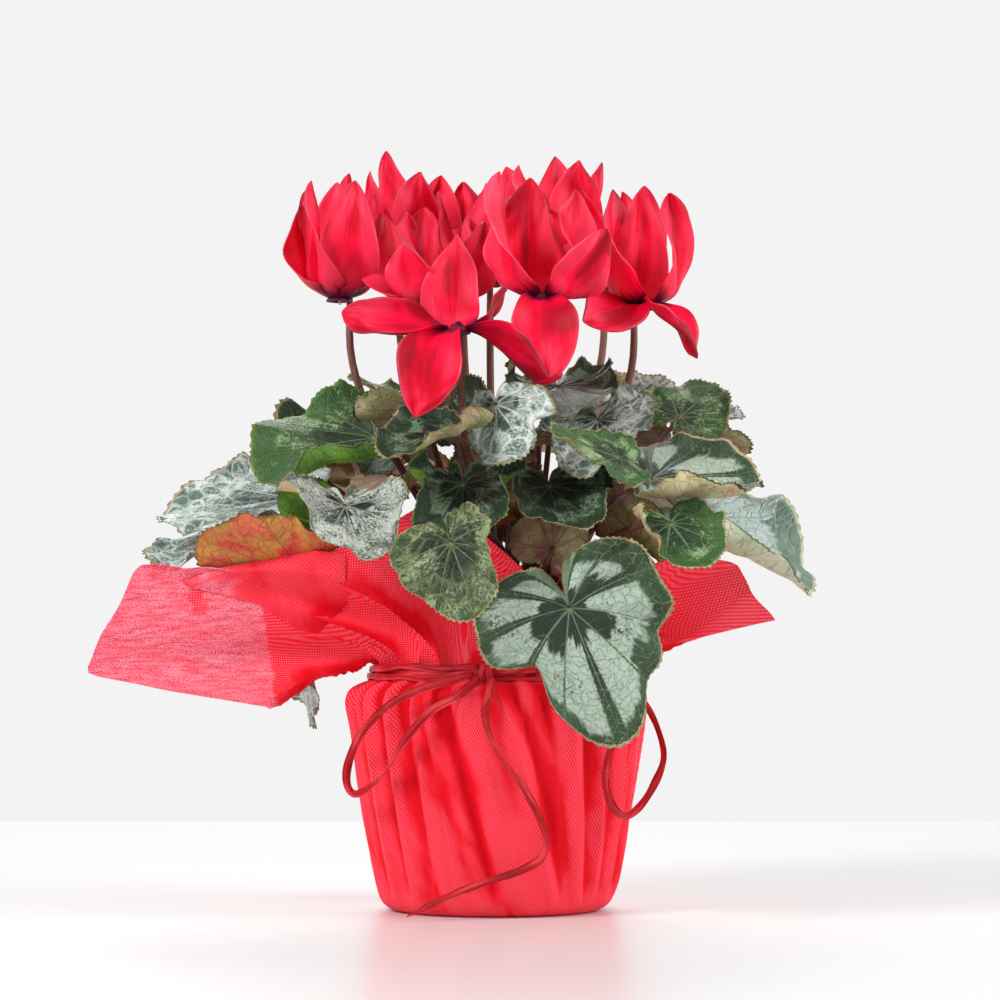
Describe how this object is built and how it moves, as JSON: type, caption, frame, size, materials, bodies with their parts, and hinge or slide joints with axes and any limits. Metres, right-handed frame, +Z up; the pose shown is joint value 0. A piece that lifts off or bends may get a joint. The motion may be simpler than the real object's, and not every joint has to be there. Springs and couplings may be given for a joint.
{
  "type": "potted cyclamen",
  "caption": "Florist's cyclamen in a small pot, with marbled heart-shaped leaves and swept-back red flowers, in a gathered gift wrap tied with raffia.",
  "frame": {"origin": "centre of the flat base, on the surface that the wrapped pot stands on, under the pot's axis", "axes": "+Z up along the pot's axis, -Y towards the front (the side that the bow is on), +X to the right seen from the front"},
  "size_m": [0.3493, 0.2597, 0.3731],
  "materials": {
    "pot": "satin, hidden by the wrap",
    "soil": "crumbly damp peat",
    "crown": "satin plant stalk",
    "wrap": "embossed non-woven, matte",
    "raffia": "satin ribbon",
    "leaf": "satin leaf with silver marbling",
    "bloom": "velvety petal"
  },
  "bodies": {
    "root": {"pot": "pot", "soil": "soil", "wrap": "wrap", "raffia_band": "raffia", "raffia_loop_left": "raffia", "raffia_loop_right": "raffia", "raffia_tail": "raffia", "crown": "crown", "bloom_front_middle": "bloom", "bloom_front_right": "bloom", "bloom_right": "bloom", "bloom_left": "bloom", "bloom_left_front": "bloom", "bloom_left_tall": "bloom", "bloom_back_left": "bloom", "bloom_back_middle": "bloom", "bloom_back_right": "bloom", "bloom_right_back": "bloom", "leaf_front_big": "leaf", "leaf_front_marbled": "leaf", "leaf_left_metal": "leaf", "leaf_left_big": "leaf", "leaf_right_marbled": "leaf", "leaf_right_silver": "leaf", "leaf_left_silver": "leaf", "leaf_front_dark_cup": "leaf", "leaf_front_purple": "leaf", "leaf_front_pink_rim": "leaf", "leaf_front_silver": "leaf", "leaf_front_toothed_cup": "leaf", "leaf_right_round": "leaf", "leaf_right_underside": "leaf", "leaf_left_red_lit": "leaf", "leaf_left_low_silver": "leaf", "leaf_left_bright": "leaf", "leaf_left_toothed": "leaf", "leaf_left_curled": "leaf", "leaf_left_hanging": "leaf", "leaf_left_back": "leaf", "leaf_left_small_top": "leaf", "leaf_left_yellow": "leaf", "leaf_middle_twin_dark": "leaf", "leaf_middle_silver_edge": "leaf", "leaf_middle_wide_rim": "leaf", "leaf_middle_lobe": "leaf", "leaf_middle_olive": "leaf", "leaf_middle_dark_top": "leaf", "leaf_middle_olive_left": "leaf", "leaf_middle_upright": "leaf", "leaf_right_pink": "leaf", "leaf_right_small": "leaf", "leaf_right_top_silver": "leaf", "leaf_right_top_olive": "leaf", "leaf_right_edge": "leaf", "leaf_right_olive": "leaf", "leaf_back_right_low": "leaf", "leaf_back_right_high": "leaf", "leaf_back_middle": "leaf", "leaf_back_left_high": "leaf", "leaf_back_left_low": "leaf"}
  },
  "joints": []
}
